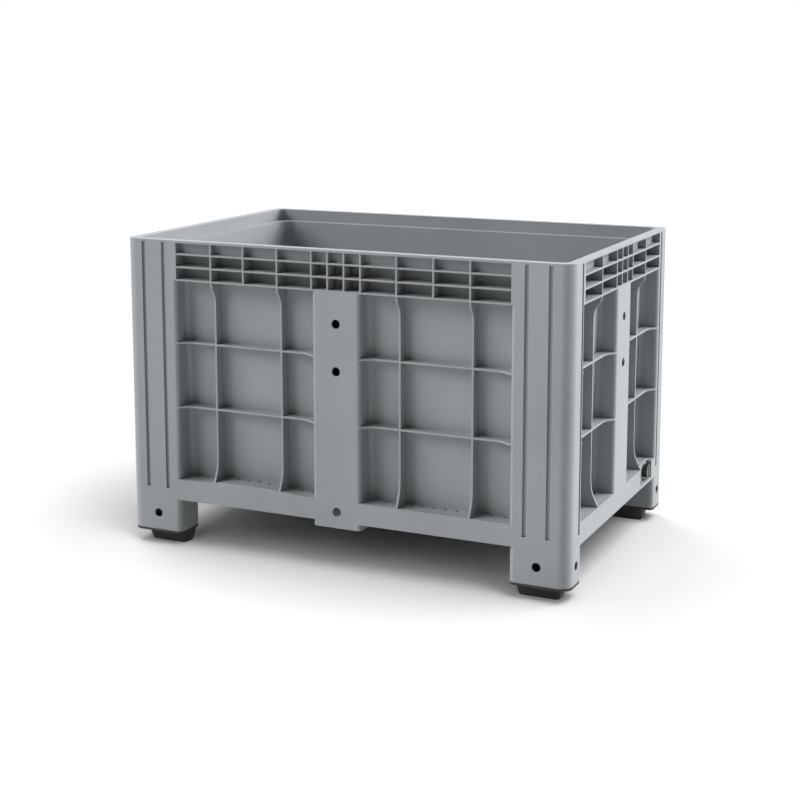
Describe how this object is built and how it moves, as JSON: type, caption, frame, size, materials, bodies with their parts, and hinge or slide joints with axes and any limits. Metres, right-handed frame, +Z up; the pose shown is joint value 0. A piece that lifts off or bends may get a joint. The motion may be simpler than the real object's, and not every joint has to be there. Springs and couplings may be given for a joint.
{
  "type": "plastic pallet box",
  "caption": "Solid-walled plastic pallet box on corner legs with rubber foot caps, ribbed sides, a stacking rim and a screwed drain plug.",
  "frame": {"origin": "centre of the footprint at floor level, under the foot caps", "axes": "+X along the long sides, +Y from the long front side to the long back side, +Z up"},
  "size_m": [1.2, 0.8, 0.8],
  "materials": {
    "grey_plastic": "satin moulded plastic",
    "black_rubber": "matte rubber",
    "black_plastic": "satin moulded plastic"
  },
  "bodies": {
    "box": {"box_body": "grey_plastic", "foot_front_left": "black_rubber", "foot_front_right": "black_rubber", "foot_rear_left": "black_rubber", "foot_rear_right": "black_rubber"},
    "seal": {"drain_plug_seal": "black_rubber"},
    "plug": {"drain_plug": "black_plastic"}
  },
  "joints": [
    {"name": "plug_travel", "type": "slide", "parent": "box", "child": "seal", "axis": [1, 0, 0], "range_m": [0, 0.016]},
    {"name": "plug_screw", "type": "hinge", "parent": "seal", "child": "plug", "pos_m": [0.6, 0.262, 0.157], "axis": [1, 0, 0], "range_deg": [0, 1440]}
  ],
  "couplings": [
    {"joint": "plug_travel", "follows": "plug_screw", "m_per_rad": 0.000636}
  ]
}
